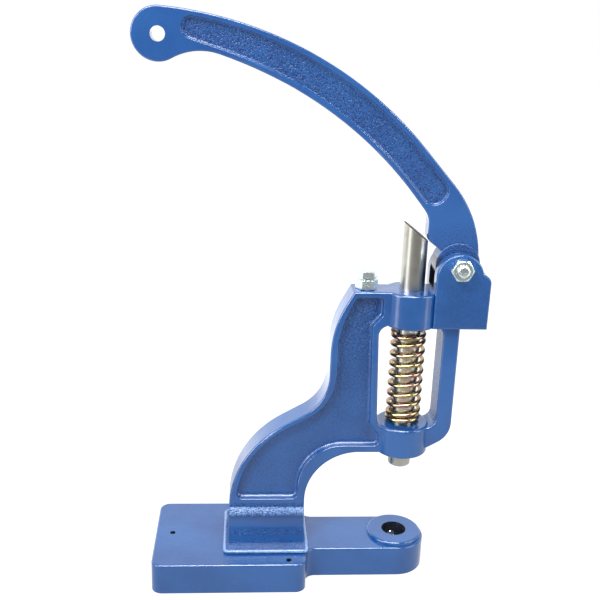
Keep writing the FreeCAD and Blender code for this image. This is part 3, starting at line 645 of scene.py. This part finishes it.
def nutMesh(name, low, high, place):
    values = fastenerSizes
    steps = values["steps"]
    mouth = values["mouth"]
    bore = values["threadRadius"] + values["boreClearance"]
    rings = [turned(low, bore + mouth, steps, place)]
    rings += hexRings(low, high, True, place)
    rings += [turned(high, bore + mouth, steps, place), turned(high - mouth, bore, steps, place),
              turned(low + mouth, bore, steps, place)]
    return ringMesh(name, rings, True)


def boltMesh(name, headEnd, threadStart, tip, place):
    # A head from headEnd on, a plain shank to threadStart, then thread to the domed tip
    values = fastenerSizes
    steps = values["steps"]
    seat = headEnd + values["headDepth"]
    root = values["threadRadius"] - values["threadDepth"]
    rings = [turned(headEnd, root * values["headCentre"], steps, place)]
    rings += hexRings(headEnd, seat, False, place)
    rings.append(turned(seat, values["threadRadius"], steps, place))
    rings.append(turned(threadStart, values["threadRadius"], steps, place))
    rings += threadRings(threadStart + values["leadIn"], tip - values["threadEnd"], place)
    rings += tipRings(tip - values["tipDepth"], tip, place)
    return ringMesh(name, rings, False)


# The pivot's fasteners point their tips towards the front, the stop's point theirs down
pivotPlace = (Matrix.Translation((pivotX, 0, pivotZ)) @ Matrix.Rotation(math.radians(90), 4, "X")
              @ Matrix.Rotation(math.radians(fastenerSizes["pivotTurn"]), 4, "Z"))
pivotBolt = boltMesh("pivotBolt", -pivotHigh.y, fastenerSizes["pivotThreadStart"], -pivotLow.y, pivotPlace)
keepPiece("pivotBolt", pivotBolt, zinc, "pivot_bolt", "frame")
nutLow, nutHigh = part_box("pivot_nut")
pivotNut = nutMesh("pivotNut", -nutHigh.y, -nutLow.y, pivotPlace)
keepPiece("pivotNut", pivotNut, zinc, "pivot_nut", "frame")

stopLow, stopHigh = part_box("stop_bolt")
stopPlace = (Matrix.Translation(((stopLow.x + stopHigh.x) / 2, 0, 0)) @ Matrix.Rotation(math.pi, 4, "X")
             @ Matrix.Rotation(math.radians(fastenerSizes["stopTurn"]), 4, "Z"))
stopThreadStart = -stopHigh.z + fastenerSizes["headDepth"] + fastenerSizes["leadIn"]
stopBolt = boltMesh("stopBolt", -stopHigh.z, stopThreadStart, -stopLow.z, stopPlace)
keepPiece("stopBolt", stopBolt, zinc, "stop_bolt", "frame")
lockLow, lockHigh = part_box("stop_lock_nut")
stopLockNut = nutMesh("stopLockNut", -lockHigh.z, -lockLow.z, stopPlace)
keepPiece("stopLockNut", stopLockNut, zinc, "stop_lock_nut", "frame")
print("fasteners built")


# Ram: ground bar with a slanted top

ramSizes = {
    "steps": 128,
    "edge": 0.0003,
    "stubRadius": 0.0095,
    "stubTop": 0.1030,
    "stubEdge": 0.0010,
    "shoulder": 0.0004,
}


def ramMesh():
    values = ramSizes
    radius = ramHigh.x
    steps = values["steps"]
    stub = values["stubRadius"]
    place = Matrix.Identity(4)

    def slanted(reach, drop):
        points = []
        for i in range(steps):
            angle = 2 * math.pi * i / steps
            across = reach * math.cos(angle)
            points.append((across, reach * math.sin(angle), ramAxisTop - ramLean * across - drop))
        return points

    rings = [turned(ramLow.z, stub - values["stubEdge"], steps, place),
             turned(ramLow.z + values["stubEdge"], stub, steps, place),
             turned(values["stubTop"] - values["shoulder"], stub, steps, place),
             turned(values["stubTop"], radius - values["shoulder"], steps, place),
             turned(values["stubTop"] + values["shoulder"], radius, steps, place),
             slanted(radius, values["edge"]),
             slanted(radius - values["edge"], 0)]
    return ringMesh("ramBar", rings, False)


keepPiece("ramBar", ramMesh(), ramSteel, "ram", "ram")
print("ram built")


# Return spring: a wound wire from a node tree, closed at both ends

springSizes = {
    "inputs": {
        "Turns": 10.5,
        "Closed turns low": 1.25,
        "Closed turns high": 1.0,
        "Easing": 0.5,
        "Closed pitch": 0.0040,
        "Coil radius": 0.01305,
        "Wire radius": 0.00175,
        "Low": 0.1380,
        "High": 0.2173,
        "Steps per turn": 60.0,
    },
    "wireSides": 16,
    "foot": 0.136,
    "keep": 0.55,
}


def openTree(name, numbers, material):
    # A node tree that takes a geometry, numbers and a material, and gives a geometry back
    tree = bpy.data.node_groups.new(name, "GeometryNodeTree")
    tree.interface.new_socket("Geometry", in_out="INPUT", socket_type="NodeSocketGeometry")
    for label, value in numbers.items():
        socket = tree.interface.new_socket(label, in_out="INPUT", socket_type="NodeSocketFloat")
        socket.default_value = value
    tree.interface.new_socket(material, in_out="INPUT", socket_type="NodeSocketMaterial")
    tree.interface.new_socket("Geometry", in_out="OUTPUT", socket_type="NodeSocketGeometry")
    return tree


def closeTree(graph, geometry, material):
    smooth = graph.node("GeometryNodeSetShadeSmooth", None, {"Geometry": geometry})
    whole = graph.node("GeometryNodeRealizeInstances", None, {"Geometry": smooth})
    dressed = graph.node("GeometryNodeSetMaterial", None, {"Geometry": whole, "Material": material})
    graph.node("NodeGroupOutput", None, {"Geometry": dressed})


def tube(graph, path, radius, sides):
    section = graph.node("GeometryNodeCurvePrimitiveCircle", None, {"Resolution": sides, "Radius": radius})
    return graph.node("GeometryNodeCurveToMesh", None,
                      {"Curve": path, "Profile Curve": section["Curve"], "Fill Caps": True})


def springTree():
    tree = openTree("springCoil", springSizes["inputs"], "Metal")
    graph = Graph(tree)
    given = graph.node("NodeGroupInput")
    turns = given["Turns"]
    easing = given["Easing"]

    def ramped(x):
        inside = x.maths("MAXIMUM", 0.0).maths("MINIMUM", easing)
        return inside * inside / (easing * 2.0) + (x - easing).maths("MAXIMUM", 0.0)

    highStart = turns - given["Closed turns high"] - easing
    openTurns = highStart - given["Closed turns low"]
    rise = given["High"] - given["Low"]
    openPitch = given["Closed pitch"] + (rise - given["Closed pitch"] * turns) / openTurns
    index = graph.node("GeometryNodeInputIndex")
    turn = index / given["Steps per turn"]
    extra = ramped(turn - given["Closed turns low"]) - ramped(turn - highStart)
    height = given["Low"] + given["Closed pitch"] * turn + (openPitch - given["Closed pitch"]) * extra
    angle = turn * (2 * math.pi)
    spot = graph.node("ShaderNodeCombineXYZ", None, {
        "X": given["Coil radius"] * angle.maths("COSINE"),
        "Y": given["Coil radius"] * angle.maths("SINE"),
        "Z": height,
    })
    line = graph.node("GeometryNodeMeshLine", None, {"Count": turns * given["Steps per turn"] + 1.0})
    wound = graph.node("GeometryNodeSetPosition", None, {"Geometry": line, "Position": spot})
    path = graph.node("GeometryNodeMeshToCurve", None, {"Mesh": wound})
    closeTree(graph, tube(graph, path, given["Wire radius"], springSizes["wireSides"]), given["Metal"])
    return tree


def meshFromTree(name, tree, inputs, start=None):
    carrier = addObject(name + "Carrier", start or bpy.data.meshes.new(name + "Carrier"))
    modifier = carrier.modifiers.new(name, "NODES")
    modifier.node_group = tree
    for item in tree.interface.items_tree:
        if item.in_out == "INPUT" and item.name in inputs:
            modifier[item.identifier] = inputs[item.name]
    bpy.context.view_layer.update()
    evaluated = carrier.evaluated_get(bpy.context.evaluated_depsgraph_get())
    mesh = bpy.data.meshes.new_from_object(evaluated)
    mesh.name = name
    bpy.data.objects.remove(carrier)
    return mesh


coil = meshFromTree("springCoil", springTree(), {"Metal": springMetal})
spring = keepPiece("springCoil", coil, springMetal, "return_spring", "frame")
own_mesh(spring)
print("spring wound:", len(spring.data.polygons), "faces")


# Rough cast beads along the foot of the column, their paler enamel a painted highlight

beadSizes = {
    "inputs": {
        "Radius": 0.0015,
        "Corner": 0.0030,
        "Roughness": 0.0012,
        "Grain": 520.0,
    },
    "cornerPoints": 6,
    "spacing": 0.0007,
    "sides": 14,
    "noise": {"W": 3.0, "Detail": 2.0},
    "padLeft": -0.1490,
    "padRight": -0.0795,
    "padHalf": 0.0320,
    "padTop": 0.0284,
    "lipLeft": -0.1457,
    "lipRight": -0.0820,
    "lipHeight": 0.0555,
    "lipHalf": 0.0124,
    "lip": {
        "Radius": 0.0044,
        "Roughness": 0.0018,
    },
}


def beadTree():
    # A tube along the given edges, its surface pushed in and out by noise
    values = beadSizes
    tree = openTree("castBead", values["inputs"], "Finish")
    graph = Graph(tree)
    given = graph.node("NodeGroupInput")
    path = graph.node("GeometryNodeMeshToCurve", None, {"Mesh": given["Geometry"]})
    rounded = graph.node("GeometryNodeFilletCurve", {"mode": "POLY"},
                         {"Curve": path, "Count": values["cornerPoints"], "Radius": given["Corner"]})
    even = graph.node("GeometryNodeResampleCurve", {"mode": "LENGTH"},
                      {"Curve": rounded, "Length": values["spacing"]})
    noise = graph.node("ShaderNodeTexNoise", {"noise_dimensions": "4D"},
                       dict(values["noise"], Scale=given["Grain"]))
    push = graph.node("ShaderNodeVectorMath", {"operation": "SCALE"}, {
        0: graph.node("GeometryNodeInputNormal"),
        "Scale": (noise["Fac"] - 0.5) * given["Roughness"],
    })
    smoothTube = tube(graph, even, given["Radius"], values["sides"])
    rough = graph.node("GeometryNodeSetPosition", None, {"Geometry": smoothTube, "Offset": push})
    closeTree(graph, rough, given["Finish"])
    return tree


def pathMesh(name, points, closed):
    mesh = bpy.data.meshes.new(name)
    edges = [(i, i + 1) for i in range(len(points) - 1)]
    if closed:
        edges.append((len(points) - 1, 0))
    mesh.from_pydata(points, edges, [])
    return mesh


def addBead(name, tree, points, closed, inputs):
    start = pathMesh(name + "Path", points, closed)
    mesh = meshFromTree(name, tree, dict(inputs, Finish=beadPaintedGlint), start)
    dress(mesh, beadPaintedGlint)
    made = addObject(name, mesh)
    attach(made, "frame")


bead = beadTree()
padLeft, padRight = beadSizes["padLeft"], beadSizes["padRight"]
padHalf, padTop = beadSizes["padHalf"], beadSizes["padTop"]
addBead("footBead", bead, [
    (padLeft, -padHalf, padTop),
    (padRight, -padHalf, padTop),
    (padRight, padHalf, padTop),
    (padLeft, padHalf, padTop),
], True, {})
for name, side in (("frontLip", -1), ("backLip", 1)):
    away = side * beadSizes["lipHalf"]
    addBead(name, bead, [
        (beadSizes["lipLeft"], away, beadSizes["lipHeight"]),
        (beadSizes["lipRight"], away, beadSizes["lipHeight"]),
    ], False, beadSizes["lip"])
print("beads laid")


# Studio: pale floor, soft light, the camera of the photograph

studio = {
    "floorColour": rgb(240, 240, 240),
    "floorReach": 8.0,
    "glow": 0.9,
    "cameraGlow": 0.25,
    "glowShare": 0.25,
    "cameraGlowShare": 0.5,
    "mirrorGlowShare": 0.65,
    "mirrorFar": 0.22,
    "mirrorNear": 0.56,
    "mirrorBehind": 0.9,
    "nearStep": (-0.7, -0.3),
    "behindStep": (0.1, 0.5),
    "bandCentreX": -0.02,
    "bandSoftness": 0.6,
    "bandStart": (0.28, 0.42),
    "bands": (
        {"bearing": -1.15, "half": 0.16, "strength": 2.6},
        {"bearing": 1.05, "half": 0.12, "strength": 1.6},
    ),
    "ambient": 0.24,
    "above": 0.2,
    "aboveStep": (0.1, 0.9),
    "behind": 1.3,
    "backStep": (0.0, 0.7),
    "leftSide": 1.2,
    "leftStep": (0.2, 0.9),
    "rightSide": 0.3,
    "rightStep": (0.5, 1.0),
    "mirrored": 0.75,
    "softboxes": (
        {"towards": (-0.10, -0.42, 0.90), "edge": (0.90, 0.965), "strength": 13.0},
        {"towards": (-0.85, -0.45, 0.28), "edge": (0.93, 0.975), "strength": 7.0},
        {"towards": (0.88, -0.38, 0.30), "edge": (0.95, 0.985), "strength": 5.0},
    ),
    "target": (-0.05, 0, 0.2),
    "lampShape": 0.7,
    "lamps": (
        {"name": "keyLight", "place": (-0.9, -0.9, 1.5), "width": 0.34, "power": 13.0},
        {"name": "sideLight", "place": (1.1, -0.8, 1.2), "width": 0.3, "power": 5.0},
        {"name": "topLight", "place": (0.1, -0.55, 1.7), "width": 0.7, "power": 10.0},
    ),
}


def studioWorld():
    # White to the camera; to the object, bright behind and to the left, dim in front, with softboxes
    # that only polished surfaces mirror
    world = bpy.data.worlds.new("studioWorld")
    bpy.context.scene.world = world
    world.use_nodes = True
    world.cycles.sampling_method = "NONE"
    world.node_tree.nodes.clear()
    graph = Graph(world.node_tree)
    direction = graph.node("ShaderNodeTexCoord")["Generated"]
    split = graph.node("ShaderNodeSeparateXYZ", None, {0: direction})
    across = split["X"]
    room = (studio["ambient"]
            + split["Z"].step(*studio["aboveStep"]) * studio["above"]
            + (across * -1).step(*studio["leftStep"]) * studio["leftSide"]
            + across.step(*studio["rightStep"]) * studio["rightSide"]
            + split["Y"].step(*studio["backStep"]) * studio["behind"])
    mirrored = room * studio["mirrored"]
    for softbox in studio["softboxes"]:
        facing = graph.node("ShaderNodeVectorMath", {"operation": "DOT_PRODUCT"},
                            {0: direction, 1: Vector(softbox["towards"]).normalized()})["Value"]
        mirrored = mirrored + facing.step(*softbox["edge"]) * softbox["strength"]
    path = graph.node("ShaderNodeLightPath")
    unseen = room + (mirrored - room) * path["Is Glossy Ray"]
    grey = unseen + (1 - unseen) * path["Is Camera Ray"]
    light = graph.node("ShaderNodeBackground", None, {"Color": grey, "Strength": 1.0})
    graph.node("ShaderNodeOutputWorld", None, {"Surface": light["Background"]})


def areaLight(lamp):
    data = bpy.data.lights.new(lamp["name"], "AREA")
    data.shape = "RECTANGLE"
    data.size = lamp["width"]
    data.size_y = lamp["width"] * studio["lampShape"]
    data.energy = lamp["power"]
    made = addObject(lamp["name"], data)
    made.location = lamp["place"]
    towards = Vector(studio["target"]) - Vector(lamp["place"])
    made.rotation_euler = towards.to_track_quat("-Z", "Y").to_euler()


def studioFloor():
    # The floor glows a little, so that only a faint shadow stays on it. Polished surfaces mirror it
    # dim beyond the camera and bright behind the press, with brighter bands at two bearings
    made, graph = newMaterial("paleFloor")
    matte = graph.node("ShaderNodeBsdfDiffuse", None, {"Color": studio["floorColour"]})
    path = graph.node("ShaderNodeLightPath")
    place = graph.node("ShaderNodeSeparateXYZ", None, {0: graph.node("ShaderNodeTexCoord")["Object"]})
    mirrored = (studio["mirrorFar"]
                + place["Y"].step(*studio["nearStep"]) * studio["mirrorNear"]
                + place["Y"].step(*studio["behindStep"]) * studio["mirrorBehind"])
    bearing = (place["X"] - studio["bandCentreX"]).maths("ARCTAN2", place["Y"] * -1)
    beyond = distance(place["X"], 0.0, place["Y"], 0.0).step(*studio["bandStart"])
    for band in studio["bands"]:
        lit = abs(bearing - band["bearing"]).fall(band["half"] * studio["bandSoftness"], band["half"])
        mirrored = mirrored + lit * beyond * band["strength"]
    grey = (studio["glow"]
            + path["Is Camera Ray"] * studio["cameraGlow"]
            + path["Is Glossy Ray"] * (mirrored - studio["glow"]))
    glow = graph.node("ShaderNodeEmission", None, {"Color": grey, "Strength": 1.0})
    share = (studio["glowShare"]
             + path["Is Camera Ray"] * studio["cameraGlowShare"]
             + path["Is Glossy Ray"] * studio["mirrorGlowShare"])
    mixed = graph.node("ShaderNodeMixShader", None, {0: share, 1: matte["BSDF"], 2: glow["Emission"]})
    graph.node("ShaderNodeOutputMaterial", None, {"Surface": mixed["Shader"]})
    mesh = bpy.data.meshes.new("paleFloor")
    reach = studio["floorReach"]
    corners = [(-reach, -reach, 0), (reach, -reach, 0), (reach, reach, 0), (-reach, reach, 0)]
    mesh.from_pydata(corners, [], [(0, 1, 2, 3)])
    mesh.materials.append(made)
    addObject("paleFloor", mesh)


photoCamera = {
    "focalPixels": 850.673,
    "framePixels": 600,
    "place": (-0.138501, -0.653768, 0.449797),
    "pitch": 0.307,
    "heading": 0.073,
    "roll": 0.036,
    "sensor": 36.0,
    "clipStart": 0.01,
}


def placeCamera():
    values = photoCamera
    pitch = values["pitch"]
    heading = values["heading"]
    level = Vector((math.sin(heading), math.cos(heading), 0))
    forward = level * math.cos(pitch) - Vector((0, 0, math.sin(pitch)))
    right = Vector((math.cos(heading), -math.sin(heading), 0))
    up = right.cross(forward)
    rolledRight = right * math.cos(values["roll"]) + up * math.sin(values["roll"])
    rolledUp = up * math.cos(values["roll"]) - right * math.sin(values["roll"])
    data = bpy.data.cameras.new("photoCamera")
    data.sensor_width = values["sensor"]
    data.lens = values["focalPixels"] / values["framePixels"] * data.sensor_width
    data.clip_start = values["clipStart"]
    camera = addObject("photoCamera", data)
    facing = Matrix((rolledRight, rolledUp, -forward)).transposed().to_4x4()
    camera.matrix_world = Matrix.Translation(values["place"]) @ facing
    bpy.context.scene.camera = camera


studioWorld()
studioFloor()
for lamp in studio["lamps"]:
    areaLight(lamp)
placeCamera()
bpy.context.scene.view_settings.view_transform = "Standard"
print("studio set")
